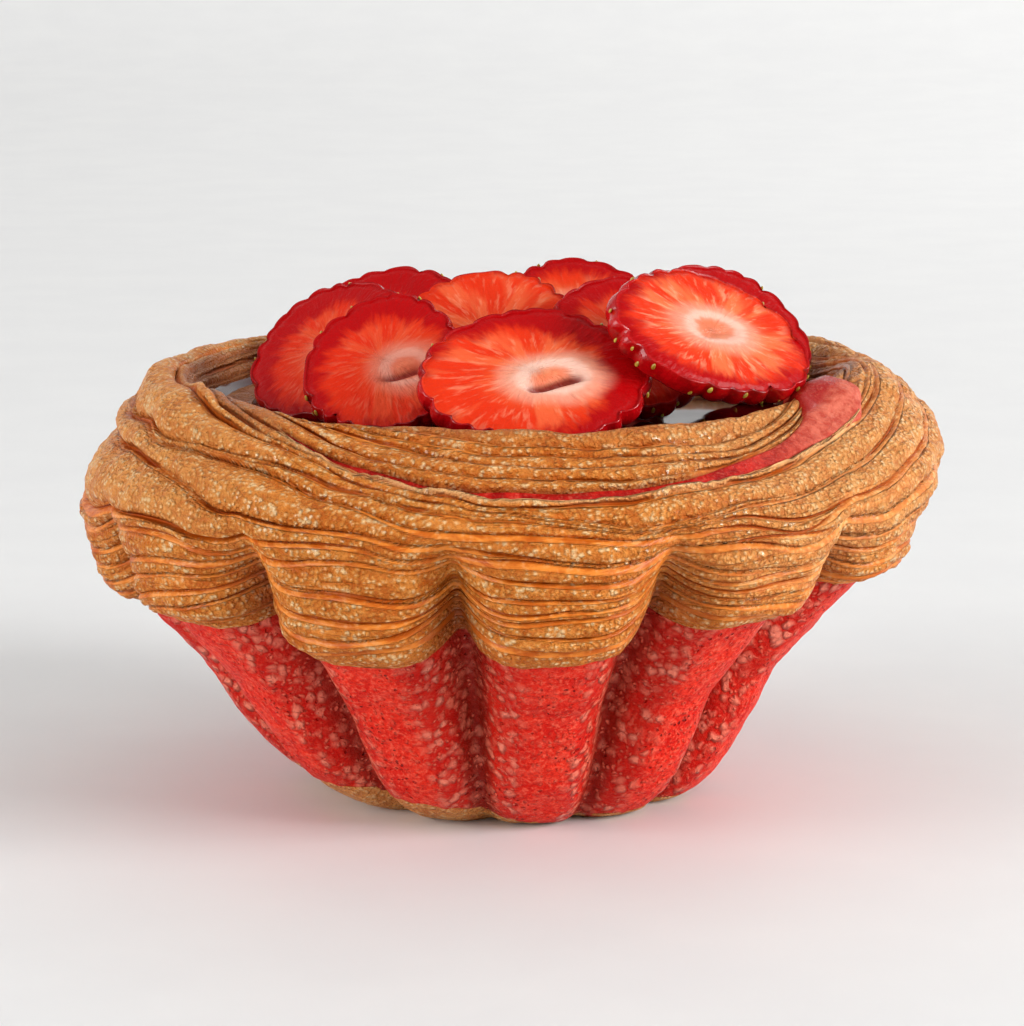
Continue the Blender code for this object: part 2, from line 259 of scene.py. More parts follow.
# The golden dough: two turns of laminated dough that rose out of the fluted mould and set as a
# swollen collar. Its cut edge shows the layers: porous bands, each under a thin smooth rim, with a
# crack between two. On the left the bands are few and swell into folds.
FLUTES = 12
FLUTE_PHASE = math.radians(7)
BASE_CREST_R = 0.0210
BASE_VALLEY_R = 0.0186
CREST_FLARE = 0.93
VALLEY_FLARE = 0.70
BELLY = 0.0025
BELLY_TOP = 0.0165
LEAN_LEFT = 0.0014
LEAN_TOP = 0.032
RIGHT_STEEPER = 0.12
EDGE_CRESTS = (
    0.0241, 0.0272, 0.0292, 0.0294, 0.0285, 0.0272,
    0.0262, 0.0254, 0.0246, 0.0244, 0.0262, 0.0232,
)
EDGE_VALLEY_RISE = 0.0036
EDGE_STEP = 0.0005
COLLAR_RINGS = (
    ((0.0512, 0.0318), (0.0498, 0.0340), (0.0494, 0.0340)),
    ((0.0521, 0.0368), (0.0502, 0.0385), (0.0519, 0.0400)),
    ((0.0497, 0.0422), (0.0486, 0.0420), (0.0509, 0.0448)),
    ((0.0461, 0.0478), (0.0450, 0.0443), (0.0474, 0.0496)),
    ((0.0414, 0.0515), (0.0402, 0.0474), (0.0420, 0.0527)),
    ((0.0384, 0.0501), (0.0360, 0.0498), (0.0384, 0.0508)),
    ((0.0362, 0.0464), (0.0334, 0.0464), (0.0362, 0.0464)),
)
PINCH_R = 0.0450
PINCH_RISE = 0.0006
SWELL_DIP = 0.0010
SWELL_RISE = 0.0010
BULGE = 0.72
BULGE_LESS_IN_VALLEY = 0.17
BULGE_RISE = 0.28
UNEVEN = ((0.0005, 2, 1.0), (0.0004, 3, 2.2))
JELLY_Z = 0.0470
FRONT_MIDDLE = math.radians(10)
FRONT_FULL = math.radians(30)
FRONT_END = math.radians(78)
RIBBON_R = 0.0450
RIBBON_TAB_R = 0.0428
RIBBON_ENDS_R = 0.0376
RIBBON_END = math.radians(68)
RIBBON_MOVES_OUT = (0.3, 0.9)
RIBBON_FADES_LEFT = (0.1, 1.2)
RIBBON_FADES_RIGHT = 0.7
PROFILE_STEPS = 200
TANGENT_STEP = 0.0002
OUTER_ROWS = 215
INNER_ROWS = 85
COLLAR_SIDES = {
    "collar_left": (-110, 0, 330),
    "collar_right": (0, 110, 330),
    "collar_back": (110, 250, 190),
}

# Where the cracks between the layers lie, by degrees round from the front: as shares of the way up
# from the red edge, 0, to the ribbon's line, 1. The last four run from there, 0, to the jelly, 1.
CRACKS = {
    -140: (.06, .13, .20, .27, .34, .42, .50, .62, .71, .76, .81, .90, .94, .97, .20, .40, .60, .80),
    -100: (.05, .11, .17, .24, .31, .38, .46, .62, .72, .75, .80, .91, .95, .98, .20, .40, .60, .80),
    -80: (.04, .09, .14, .20, .26, .32, .39, .64, .715, .72, .725, .91, .95, .98, .20, .40, .60, .80),
    -70: (.04, .08, .13, .19, .25, .34, .385, .61, .71, .715, .72, .90, .94, .97, .20, .40, .60, .80),
    -60: (.04, .08, .13, .195, .26, .37, .415, .605, .685, .69, .70, .89, .93, .97, .20, .40, .60, .80),
    -50: (.06, .12, .18, .25, .315, .41, .445, .605, .735, .745, .755, .89, .93, .97, .22, .40, .58, .75),
    -40: (.10, .20, .25, .31, .36, .40, .455, .575, .785, .80, .815, .92, .945, .985, .25, .40, .55, .70),
    -30: (.12, .22, .31, .40, .41, .505, .58, .645, .83, .885, .895, .96, .985, .995, .22, .43, .55, .70),
    -20: (.185, .24, .32, .42, .43, .58, .635, .69, .80, .875, .885, .93, .98, .995, .20, .43, .50, .60),
    -10: (.20, .28, .32, .38, .40, .52, .575, .65, .72, .795, .805, .85, .90, .935, .13, .37, .48, .58),
    0: (.20, .27, .335, .37, .44, .53, .615, .63, .715, .775, .797, .81, .845, .895, .085, .25, .42, .52),
    10: (.17, .245, .35, .39, .43, .51, .59, .60, .71, .75, .765, .79, .885, .91, .08, .24, .42, .50),
    20: (.20, .28, .34, .38, .42, .50, .57, .58, .67, .705, .715, .735, .89, .92, .05, .25, .38, .48),
    30: (.20, .265, .30, .34, .385, .445, .59, .60, .67, .715, .755, .785, .92, .945, .08, .19, .30, .42),
    40: (.12, .22, .28, .345, .395, .40, .50, .56, .57, .63, .75, .76, .93, .965, .13, .16, .25, .40),
    50: (.09, .18, .27, .34, .40, .405, .51, .515, .63, .635, .77, .775, .94, .955, .14, .20, .30, .42),
    60: (.07, .14, .22, .30, .38, .385, .49, .495, .62, .625, .77, .775, .94, .955, .26, .32, .40, .55),
    70: (.08, .15, .24, .33, .41, .415, .51, .515, .64, .645, .79, .795, .93, .97, .22, .35, .50, .70),
    80: (.08, .16, .25, .34, .43, .435, .53, .535, .66, .665, .80, .805, .94, .98, .20, .40, .60, .80),
    90: (.08, .16, .26, .36, .45, .455, .54, .545, .67, .675, .80, .805, .94, .985, .20, .40, .60, .80),
    120: (.07, .15, .23, .31, .39, .47, .55, .63, .70, .77, .84, .90, .95, .98, .20, .40, .60, .80),
    180: (.07, .15, .22, .30, .38, .46, .54, .62, .70, .76, .82, .88, .93, .97, .20, .40, .60, .80),
}
OUTER_CRACKS = 14
WANDER = ((0.00034, 4.0, 0.006, 3), (0.00016, 11.0, 0.003, 4))
FOLD_HEIGHT = 0.0021
FOLD_WIDTH = 0.0060
FOLD_SUNK = 0.62
RIM_WIDTH = 0.00052
RIM_RISE = 0.00010
CRACK_WIDTH = 0.00013
CRACK_DEPTH = 0.00036
CRACK_WIDER_IN_FOLDS = 1.2
THREAD_DEPTH = 0.00012
BLOATED = ((0.00045, 0.0085, 41), (0.00022, 0.0032, 42))
PORE_DEPTH = 0.00013
GULLY_DEPTH = 0.0011
GULLY_SOFTENED = 0.00025
TORN_WIDTH = 0.00035
TORN_RISE = 0.00035
FRONT_LIP_SINKS = 0.0011
LEFT_WALL_LEANS_IN = (-0.0048, 0.0008)
TUCKED_UNDER = (0.0022, -0.0002)
TUCKED_IN = (0.0006, 0.0022)
FLOW_ROUND = 0.013
GOLD = ((0.52, 0.125, 0.010), (0.80, 0.300, 0.052))
GOLD_DEEPER = (0.62, 0.170, 0.018)
GOLD_ON_FOLDS = (0.90, 0.42, 0.120)
# Painted shade: the darker gold drawn towards the cracks, where each band curves down into its crease.
GOLD_PAINTED_CREASE_SHADE = (0.52, 0.130, 0.010)
GOLD_PALE = (0.93, 0.62, 0.30)
# Painted light: the paler gold that the right side of the collar is drawn towards, where the key lamp
# falls.
GOLD_PAINTED_LIGHT = (1.00, 0.56, 0.22)
PORE_BROWN = (0.46, 0.085, 0.003)
RIM_BROWN = ((0.50, 0.090, 0.004), (0.78, 0.235, 0.028))
TORN_CREAM = (0.95, 0.60, 0.28)
CRACK_BROWN = (0.40, 0.062, 0.001)
# Painted shade: the dark brown drawn into the flute valleys under the collar's pinch.
VALLEY_PAINTED_SHADE = (0.26, 0.045, 0.004)
INSIDE_BROWN = (0.36, 0.110, 0.040)
GULLY_RED = (0.20, 0.02, 0.01)

# The ribbon's lower and upper edge, by degrees, on the same scale: past 1 it lies inside the line.
RIBBON_EDGES = {
    -44: (1.000, 1.000), -38: (1.000, 1.020), -30: (1.012, 1.050), -20: (1.000, 1.070),
    -10: (0.945, 0.985), 0: (0.908, 0.972), 10: (0.918, 0.972), 20: (0.932, 0.990),
    30: (0.957, 1.045), 40: (0.972, 1.100), 50: (0.965, 1.130), 58: (0.955, 1.300),
    64: (0.960, 1.750), 70: (1.020, 1.800),
}


def past(start, full, angle):
    """0 up to start degrees round from the front, 1 beyond full degrees."""
    return smooth(math.radians(start), math.radians(full), angle)


def turn_from(theta, middle):
    """The angle from middle to theta, between -pi and pi."""
    return (theta - middle + math.pi) % (2 * math.pi) - math.pi


def lumps(points, size, seed):
    """Smooth random lumps from -1 to 1 at points in space, about size across."""
    table = np.random.default_rng(seed).uniform(-1, 1, (32, 32, 32))
    q = points / size
    low = np.floor(q).astype(int)
    t = q - low
    t = t * t * (3 - 2 * t)
    total = 0.0
    for corner in range(8):
        step = np.array([corner & 1, corner >> 1 & 1, corner >> 2 & 1])
        i = (low + step) & 31
        weight = np.prod(np.where(step == 1, t, 1 - t), axis=-1)
        total = total + weight * table[i[..., 0], i[..., 1], i[..., 2]]
    return total


def streaks(theta, reach, often, thick, seed):
    """Lumps drawn out round the collar: often to a radian, and thick metres across."""
    theta, reach = np.broadcast_arrays(theta, reach)
    points = np.stack([np.sin(theta) * often + 7, np.cos(theta) * often + 7, reach / thick], -1)
    return lumps(points, 1.0, seed)


def flute_wave(theta):
    """1 along the middle of a flute's crest and 0 along the bottom of a valley."""
    return np.abs(np.cos((theta - FLUTE_PHASE) * FLUTES / 2))


def lobe(theta):
    """1 on the broad crest of a flute and 0 in the narrow valley between two."""
    return smooth(0.08, 1.0, flute_wave(theta)) ** 0.6


def mould_r(theta, z):
    """Radius of the fluted outside at a height."""
    belly = BELLY * np.sin(math.pi * np.clip(z / BELLY_TOP, 0, 1) ** 0.6)
    lean = LEAN_LEFT * np.sin(math.pi * np.clip(z / LEAN_TOP, 0, 1))
    crest = BASE_CREST_R + CREST_FLARE * z
    valley = BASE_VALLEY_R + VALLEY_FLARE * z
    steeper = RIGHT_STEEPER * z * smooth(0.0, 1.0, np.sin(theta))
    return valley + (crest - valley) * lobe(theta) + belly - lean * np.sin(theta) - steeper


def edge_z(theta):
    """Height at which the golden dough meets the red sheet: low on the lobes, high in the valleys."""
    valley = (1 - lobe(theta)) ** 1.4
    lobes = (theta - FLUTE_PHASE) / (2 * math.pi / FLUTES)
    here = np.floor(lobes + 1e-9).astype(int) % FLUTES
    share = smooth(0.0, 1.0, lobes - np.floor(lobes + 1e-9))
    crests = np.array(EDGE_CRESTS)
    height = crests[here] * (1 - share) + crests[(here + 1) % FLUTES] * share
    return height + EDGE_VALLEY_RISE * valley


def front_share(theta):
    """1 in front, where the inner turn laps over the rim, and 0 at the sides and back."""
    return 1 - smooth(FRONT_FULL, FRONT_END, np.abs(turn_from(theta, FRONT_MIDDLE)))


def through_points(points, steps):
    """A smooth curve through points[:, k], the same number of steps in each span."""
    first = 2 * points[:, :1] - points[:, 1:2]
    last = 2 * points[:, -1:] - points[:, -2:-1]
    p = np.concatenate([first, points, last], axis=1)
    at = np.linspace(0, points.shape[1] - 1, steps)
    k = np.minimum(at.astype(int), points.shape[1] - 2)
    t = (at - k)[None, :, None]
    a, b, c, d = p[:, k], p[:, k + 1], p[:, k + 2], p[:, k + 3]
    return 0.5 * (2 * b + (c - a) * t + (2 * a - 5 * b + 4 * c - d) * t**2
                  + (3 * b - a - 3 * c + d) * t**3)


def collar_line(theta):
    """Points (r, z) up the outside of the collar, over its crest and down to the jelly."""
    valley = 1 - smooth(0.05, 1.0, flute_wave(theta)) ** 0.5
    front = front_share(theta)[:, None]
    right = (0.5 + 0.5 * np.sin(theta))[:, None]
    shape = np.array(COLLAR_RINGS)
    side = shape[:, None, 0] + (shape[:, None, 2] - shape[:, None, 0]) * right
    rings = side + (shape[:, None, 1] - side) * front
    uneven = sum(height * np.sin(waves * theta + start) for height, waves, start in UNEVEN)
    rings[0, :, 0] += (PINCH_R - rings[0, :, 0]) * valley
    rings[0, :, 1] += PINCH_RISE * valley
    rings[1, :, 0] -= SWELL_DIP * valley
    rings[1, :, 1] += SWELL_RISE * valley
    rings[1:4, :, 0] += uneven / 2
    z0 = edge_z(theta)
    r0 = mould_r(theta, z0) + EDGE_STEP
    bulge_r = r0 + (BULGE - BULGE_LESS_IN_VALLEY * valley) * (rings[0, :, 0] - r0)
    bulge_z = z0 + BULGE_RISE * (rings[0, :, 1] - z0)
    start = np.stack([r0, z0], -1)
    under = np.stack([bulge_r, bulge_z], -1)
    return through_points(np.stack([start, under, *rings], 1), PROFILE_STEPS)


def ribbon_radius(theta):
    """Radius at which the red ribbon's line lies on the collar."""
    a = turn_from(theta, 0)
    away_right = smooth(RIBBON_END, RIBBON_END + RIBBON_FADES_RIGHT, a)
    away = np.maximum(away_right, smooth(*RIBBON_FADES_LEFT, -a))
    middle = RIBBON_R + (RIBBON_TAB_R - RIBBON_R) * smooth(*RIBBON_MOVES_OUT, a)
    return middle + (RIBBON_ENDS_R - middle) * away


class Surface:
    """The collar's bare surface over some angles, read by the length up its profile."""

    def __init__(self, theta):
        self.theta = theta
        self.line = collar_line(theta)
        step = np.linalg.norm(np.diff(self.line, axis=1), axis=2)
        self.along = np.concatenate([np.zeros((len(theta), 1)), np.cumsum(step, 1)], 1)
        self.whole = self.along[:, -1]
        self.split = np.empty(len(theta))
        for i, r in enumerate(ribbon_radius(theta)):
            widest = np.argmax(self.line[i, :, 0])
            self.split[i] = np.interp(-r, -self.line[i, widest:, 0], self.along[i, widest:])

    def length(self, share):
        """Metres up the profile for a share: 0 to 1 up to the ribbon's line, then 2 at the jelly."""
        inside = np.clip(share - 1, 0, 1) * (self.whole - self.split)
        return np.clip(share, 0, 1) * self.split + inside

    def at(self, reach):
        """Points (r, z) at lengths [row, column] and the unit directions that point out of the dough."""
        point = np.empty(reach.shape + (2,))
        ahead = np.empty(reach.shape + (2,))
        for i in range(len(self.theta)):
            for k in (0, 1):
                here, after, before = (
                    np.interp(reach[:, i] + step, self.along[i], self.line[i, :, k])
                    for step in (0, TANGENT_STEP, -TANGENT_STEP)
                )
                point[:, i, k] = here
                ahead[:, i, k] = after - before
        ahead /= np.linalg.norm(ahead, axis=2, keepdims=True) + 1e-12
        return point, np.stack([ahead[..., 1], -ahead[..., 0]], -1)


def by_angle(table, theta):
    """Rows of a table keyed by degrees, run smoothly over the angles, round the ring."""
    angles = sorted(table)
    values = np.array([table[angle] for angle in angles] * 3)
    keys = np.array([angle + turn for turn in (-360, 0, 360) for angle in angles], float)
    at = np.degrees(turn_from(theta, 0))
    k = np.clip(np.searchsorted(keys, at, "right") - 1, 1, len(keys) - 3)
    span = keys[k + 1] - keys[k]
    t = ((at - keys[k]) / span)[:, None]
    back = (values[k + 1] - values[k - 1]) * (span / (keys[k + 1] - keys[k - 1]))[:, None]
    front = (values[k + 2] - values[k]) * (span / (keys[k + 2] - keys[k]))[:, None]
    a, b = values[k], values[k + 1]
    out = a + back * t + (3 * (b - a) - 2 * back - front) * t**2 + (2 * (a - b) + back + front) * t**3
    return out.T


def ring_points(theta, rz):
    """Points in space for points (r, z) at those angles round from the front."""
    return np.stack([rz[..., 0] * np.sin(theta), -rz[..., 0] * np.cos(theta), rz[..., 1]], -1)


def collar_piece(name, theta):
    """One side of the collar, with its layers, folds and pores raised, and masks for its finish."""
    surface = Surface(theta)
    share = np.concatenate([np.linspace(0, 1, OUTER_ROWS), np.linspace(1, 2, INNER_ROWS + 1)[1:]])
    reach = np.stack([surface.length(s) for s in share])
    rows, outward = surface.at(reach)
    a = turn_from(theta, 0)[None, :]
    turn = theta[None, :]
    share = share[:, None]
    slope = smooth(0.15, 0.85, -np.sin(turn)) * smooth(1.55, 2.0, share)
    rows = rows + slope[..., None] * np.array(LEFT_WALL_LEANS_IN)
    bare = ring_points(theta, rows)

    shares = by_angle(CRACKS, theta)
    shares[OUTER_CRACKS:] += 1
    ends = np.zeros_like(shares[:1])
    lines = np.stack([surface.length(s) for s in np.concatenate([ends, shares, ends + 2])])
    lines = np.maximum.accumulate(lines + np.arange(len(lines))[:, None] * 1e-7, axis=0)
    wander = sum(far * streaks(turn, reach, *streak) for far, *streak in WANDER)
    wander = wander * smooth(0, 0.03, share) * smooth(0, 0.03, 2 - share)
    at = np.clip(reach + wander, 0, lines[-1] - 1e-6)
    layer = np.sum(at[None] >= lines[1:-1, None, :], axis=0)
    low = np.take_along_axis(lines, layer, 0)
    high = np.take_along_axis(lines, layer + 1, 0)
    wide = np.maximum(high - low, 1e-6)
    up = (at - low) / wide
    to_crack = np.minimum(at - low, high - at)

    drift = streaks(turn, layer * 0.0013, 3.0, 0.001, 11)
    tall = np.random.default_rng(12).uniform(0.75, 1.25, 40)[layer]
    swell = np.sin(math.pi * np.clip(up, 0, 1) ** 0.8) ** 0.65
    folds = past(-28, -52, a) * smooth(0.38, 0.44, share) * past(-170, -120, a)
    left_wall = past(-36, -50, a) * smooth(0.90, 0.94, share)
    right_wall = past(66, 80, a) * smooth(0.97, 1.03, share)
    inside = np.maximum(np.maximum(smooth(1.45, 1.8, share), left_wall), right_wall)
    height = FOLD_HEIGHT * (1 - np.exp(-wide / FOLD_WIDTH)) * tall * (1 + 0.25 * drift)
    relief = height * (1 + 0.35 * folds) * (swell - FOLD_SUNK) * (1 - 0.6 * inside)
    open_crack = 0.25 + 0.75 * smooth(-0.3, 0.5, streaks(turn, reach, 5.0, 0.002, 14))
    wider = 1 + CRACK_WIDER_IN_FOLDS * folds
    crack = np.exp(-(to_crack / (CRACK_WIDTH * wider)) ** 2) * open_crack
    relief = relief - CRACK_DEPTH * wider * crack

    rim_wide = np.minimum(RIM_WIDTH, 0.28 * wide) * (1 + 0.6 * drift)
    from_top = high - at
    rim = smooth(0.00004, 0.00014, from_top) * (1 - smooth(rim_wide, rim_wide + 0.00015, from_top))
    threads = streaks(turn, at, 3.6, 0.0011, 21)
    thread_here = smooth(-0.05, 0.3, streaks(turn, at, 2.6, 0.0040, 22)) * (1 - 0.85 * folds)
    thread = np.exp(-(threads / 0.10) ** 2) * thread_here
    relief = relief - THREAD_DEPTH * thread + RIM_RISE * rim
    for rise, size, seed in BLOATED:
        relief = relief + rise * lumps(bare, size, seed)
    porous = (1 - rim) * (1 - np.clip(crack + thread, 0, 1)) * (1 - 0.7 * inside)
    pores = lumps(bare, 0.0013, 43) + 0.8 * lumps(bare, 0.00070, 44)
    relief = relief + PORE_DEPTH * pores * porous

    edges = [surface.length(e) for e in by_angle(RIBBON_EDGES, theta)]
    shown = past(-44, -36, a) * (1 - smooth(RIBBON_END, math.radians(74), a))
    past_low = smooth(-GULLY_SOFTENED, GULLY_SOFTENED, reach - edges[0])
    under_high = smooth(-GULLY_SOFTENED, GULLY_SOFTENED, edges[1] - reach)
    gully = shown * past_low * under_high
    torn = np.exp(-((edges[0] - reach - 0.0005) / TORN_WIDTH) ** 2) * shown
    relief = relief + TORN_RISE * torn * (1 + 0.8 * lumps(bare, 0.0011, 45))
    front_lip = front_share(turn) * smooth(1.10, 1.45, share) * (1 - smooth(1.7, 1.95, share))
    relief = relief - FRONT_LIP_SINKS * front_lip
    relief = relief * (1 - gully) - GULLY_DEPTH * gully
    relief = relief * smooth(0, 0.02, share) * smooth(0, 0.03, 2 - share)

    raised = rows + outward * relief[..., None]
    under = rows[:1] - np.array(TUCKED_UNDER)
    lip = rows[-1:] - np.array(TUCKED_IN)
    grid = ring_points(theta, np.concatenate([under, raised, lip]))

    def pad(values, first, last):
        """A mask over the raised rows, and what it is on the two tucked-in rows."""
        values = np.broadcast_to(values, relief.shape)
        return np.concatenate([values[:1] * 0 + first, values, values[-1:] * 0 + last])

    masks = {
        "crack": pad(np.clip(crack + 0.22 * thread, 0, 1), 1, 1),
        "rim": pad(np.clip(rim * (1 - 0.5 * folds) + 0.5 * thread, 0, 1), 0, 0),
        "tone": pad(np.clip(0.5 + 0.4 * drift + 0.3 * (tall - 1), 0, 1), 0, 0),
        "folds": pad(folds, 0, 0),
        # The band's swell also sets where shade is painted by the cracks.
        "swell": pad(swell, 0, 0),
        # Painted light: the right side of the collar is marked to be drawn paler, as if lit by the key
        # lamp.
        "painted_light": pad(smooth(0.15, 0.80, np.sin(turn)) * smooth(0.10, 0.40, share), 0, 0),
        "inside": pad(inside, 0, 1),
        "gully": pad(gully, 0, 0),
        "torn": pad(np.clip(torn, 0, 1), 0, 0),
        # Painted shade: the flute valleys below the pinch are marked to be drawn dark.
        "valley": pad((1 - lobe(turn)) ** 2 * (1 - smooth(0.22, 0.42, share)), 0, 0),
        "flow_x": pad(FLOW_ROUND * np.sin(turn), 0, 0),
        "flow_y": pad(FLOW_ROUND * np.cos(turn), 0, 0),
        "flow_up": pad(at, 0, 0.08),
    }
    return grid_mesh(name, grid, False, masks)


def baked_dough(name):
    """Baked laminated dough: golden porous bands with wet-looking bubbles, orange-brown smooth rims."""
    dough = Finish(name)
    crack, rim, tone = dough.mask("crack"), dough.mask("rim"), dough.mask("tone")
    inside, folds, gully = dough.mask("inside"), dough.mask("folds"), dough.mask("gully")
    torn, valley, swell = dough.mask("torn"), dough.mask("valley"), dough.mask("swell")
    flow = dough.add("ShaderNodeCombineXYZ", {}, {
        0: dough.mask("flow_x"), 1: dough.mask("flow_y"), 2: dough.mask("flow_up"),
    })
    patches = dough.noise(300.0, 4.0)
    drawn = dough.noise(1150.0, 4.0, 0.6, flow)
    grit = dough.noise(2600.0, 4.0, 0.7)
    cell = dough.bubbles(1500.0)
    fine_cell = dough.bubbles(2900.0)
    dome = 1 - cell.over(0.05, 0.75)
    fine_dome = 1 - fine_cell.over(0.05, 0.75)
    crumb = (1 - rim) * (1 - crack.over(0.1, 0.7))
    bake = drawn * 0.42 + grit * 0.24 + patches * 0.22 + dome * 0.12
    gold = dough.mix(bake.over(0.36, 0.50), *GOLD)
    gold = dough.mix(tone.over(0.15, 0.85) * 0.30, gold, GOLD_DEEPER)
    gold = dough.mix(folds * 0.60, gold, GOLD_ON_FOLDS)
    # Painted shade: each band is drawn darker towards its cracks and paler over its swell.
    gold = dough.mix((1 - swell.over(0.30, 0.85)) * 0.55, gold, GOLD_PAINTED_CREASE_SHADE)
    gold = dough.mix(bake.over(0.49, 0.60) * 0.90, gold, GOLD_PALE)
    # Painted light: the right side is drawn paler, as if lit by the key lamp.
    gold = dough.mix(dough.mask("painted_light") * 0.42, gold, GOLD_PAINTED_LIGHT)
    gap = (1 - dome) * (1 - fine_dome * 0.5) * (1 - patches.over(0.40, 0.62) * 0.6)
    gold = dough.mix(gap * 0.62, gold, PORE_BROWN)
    brown = dough.mix(drawn.over(0.38, 0.60), *RIM_BROWN)
    # Where light is painted on the right, the rims are drawn less brown.
    colour = dough.mix(rim * (0.80 - 0.40 * dough.mask("painted_light")), gold, brown)
    colour = dough.mix(torn * 0.6, colour, TORN_CREAM)
    colour = dough.mix(crack.over(0.10, 0.8) * 0.90, colour, CRACK_BROWN)
    # Painted shade in the flute valleys below the pinch.
    colour = dough.mix(valley * 0.85, colour, VALLEY_PAINTED_SHADE)
    colour = dough.mix(inside * 0.75, colour, INSIDE_BROWN)
    colour = dough.mix(gully, colour, GULLY_RED)
    wet = dome.over(0.35, 0.9) * grit.over(0.42, 0.58) * crumb * (1 - inside)
    texture = (dome * 0.9 + fine_dome * 0.5 + bake * 2.2 + grit * 0.5) * crumb + drawn * 0.8
    return dough.set(
        Base_Color=colour, Roughness=0.44 - 0.06 * rim - 0.12 * inside,
        Normal=dough.bump(texture, 0.00034), Specular_IOR_Level=0.13,
        Coat_Weight=0.80 * wet + 0.10 * rim + 0.01, Coat_Roughness=0.09,
    )


golden = baked_dough("baked_dough")
collar = [collar_piece(name, np.radians(np.linspace(*side))) for name, side in COLLAR_SIDES.items()]

BASE_CRUST = 0.0004
BASE_CRUST_TILT = 0.0031
CRUST_SHOWS_AT = math.radians(-54)
BASE_COLUMNS = 480
BASE_FLAT_ROWS = 26
BASE_SIDE_ROWS = 14
BASE_SET_BACK = 0.0008
BASE_LIFT = 0.00018
BASE_ROUGH = 0.00022
BASE_UNDER_SHEET = (0.0025, 0.0006)


def crust_top(theta):
    """Height of the golden crust that shows under the red sheet, more of it on the left."""
    shows = smooth(0.4, 1.0, np.cos(theta - CRUST_SHOWS_AT))
    return BASE_CRUST + BASE_CRUST_TILT * shows


def level_points(theta, r):
    """Points on a level disc, at which lumps are read."""
    return np.stack([r * np.sin(theta), r * np.cos(theta), 0 * r], -1)


base_turn = full_turn(BASE_COLUMNS)
base_rows = []
for share in np.linspace(0.02, 1.0, BASE_FLAT_ROWS):
    r = (mould_r(base_turn, 0.0) - BASE_SET_BACK) * share
    uneven = 1 + lumps(level_points(base_turn, r), 0.004, 61)
    base_rows.append(np.stack([r, BASE_LIFT * uneven * smooth(1.0, 0.8, share)], -1))
for share in np.linspace(0, 1, BASE_SIDE_ROWS):
    z = share * (crust_top(base_turn) + BASE_UNDER_SHEET[1])
    round_off = BASE_SET_BACK * (1 - share) ** 3
    base_rows.append(np.stack([mould_r(base_turn, z) - round_off - 0.0002, z], -1))
base_rows.append(np.stack([mould_r(base_turn, z) - BASE_UNDER_SHEET[0], z], -1))
base_rz = np.stack(base_rows)
base_points = ring_points(base_turn, base_rz)
on_side = smooth(BASE_FLAT_ROWS, BASE_FLAT_ROWS + 2, np.arange(len(base_rows)))[:, None]
base_rz[..., 0] += on_side * BASE_ROUGH * lumps(base_points, 0.0013, 62)
base_masks = dict.fromkeys(("rim", "inside", "folds", "gully", "torn", "valley"), 0.0)
base_masks.update({
    "crack": np.clip(lumps(base_points, 0.0011, 63) - 0.45, 0, 1),
    # The crust takes an even share of the painted light all round.
    "tone": 0.2, "swell": 0.9, "painted_light": 0.7,
    "flow_x": base_points[..., 0], "flow_y": base_points[..., 1], "flow_up": base_points[..., 2],
})
base_crust = grid_mesh("base_crust", ring_points(base_turn, base_rz), True, base_masks)
for piece in (*collar, base_crust):
    piece.data.materials.append(golden)
    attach(piece, "root")
    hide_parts("dough")


# The red sheet: a thin dough coloured with beet, baked against the mould. It is blistered on the
# flanks of its flutes and finely pitted on their crests, and shines a little where it touched metal.
SHEET_ROWS = 110
SHEET_COLUMNS = 800
SHEET_UNDER_COLLAR = 0.0008
SHEET_UNEVEN = ((0.00030, 0.0060, 71), (0.00016, 0.0020, 72), (0.00007, 0.0010, 73))
SHEET_FOOT_SET_BACK = 0.0003
SHEET_TUCKED_IN = (0.0018, -0.0001)
RED = ((0.68, 0.009, 0.003), (0.84, 0.030, 0.011))
RED_GRAIN_DARK = (0.44, 0.002, 0.001)
RED_GRAIN_PALE = (0.94, 0.150, 0.085)
RED_ON_FLANK = (0.44, 0.003, 0.001)
# Painted shade: the near-black red drawn down the bottoms of the flute valleys.
RED_VALLEY_PAINTED_SHADE = (0.20, 0.010, 0.004)
RED_DOT = (0.94, 0.17, 0.095)
RED_BLISTER = (0.94, 0.25, 0.15)
RED_PIT = (0.28, 0.001, 0.001)
BLISTERS = 720.0
SMALL_BLISTERS = 1500.0
sheet_turn = full_turn(SHEET_COLUMNS)
sheet_low = crust_top(sheet_turn)
sheet_high = edge_z(sheet_turn) + SHEET_UNDER_COLLAR
sheet_share = np.linspace(0, 1, SHEET_ROWS)[:, None]
sheet_z = sheet_low + sheet_share * (sheet_high - sheet_low)
sheet_r = mould_r(sheet_turn, sheet_z)
sheet_bare = ring_points(sheet_turn, np.stack([sheet_r, sheet_z], -1))
for rise, size, seed in SHEET_UNEVEN:
    sheet_r = sheet_r + rise * lumps(sheet_bare, size, seed)
sheet_r = sheet_r - SHEET_FOOT_SET_BACK * (1 - smooth(0, 0.03, sheet_share))
sheet_rz = np.stack([sheet_r, sheet_z], -1)
sheet_rz = np.concatenate([sheet_rz[:1] - np.array(SHEET_TUCKED_IN), sheet_rz])
sheet_flank = 1 - flute_wave(sheet_turn) ** 2
red_sheet = grid_mesh("red_sheet_skin", ring_points(sheet_turn, sheet_rz), True, {"flank": sheet_flank})


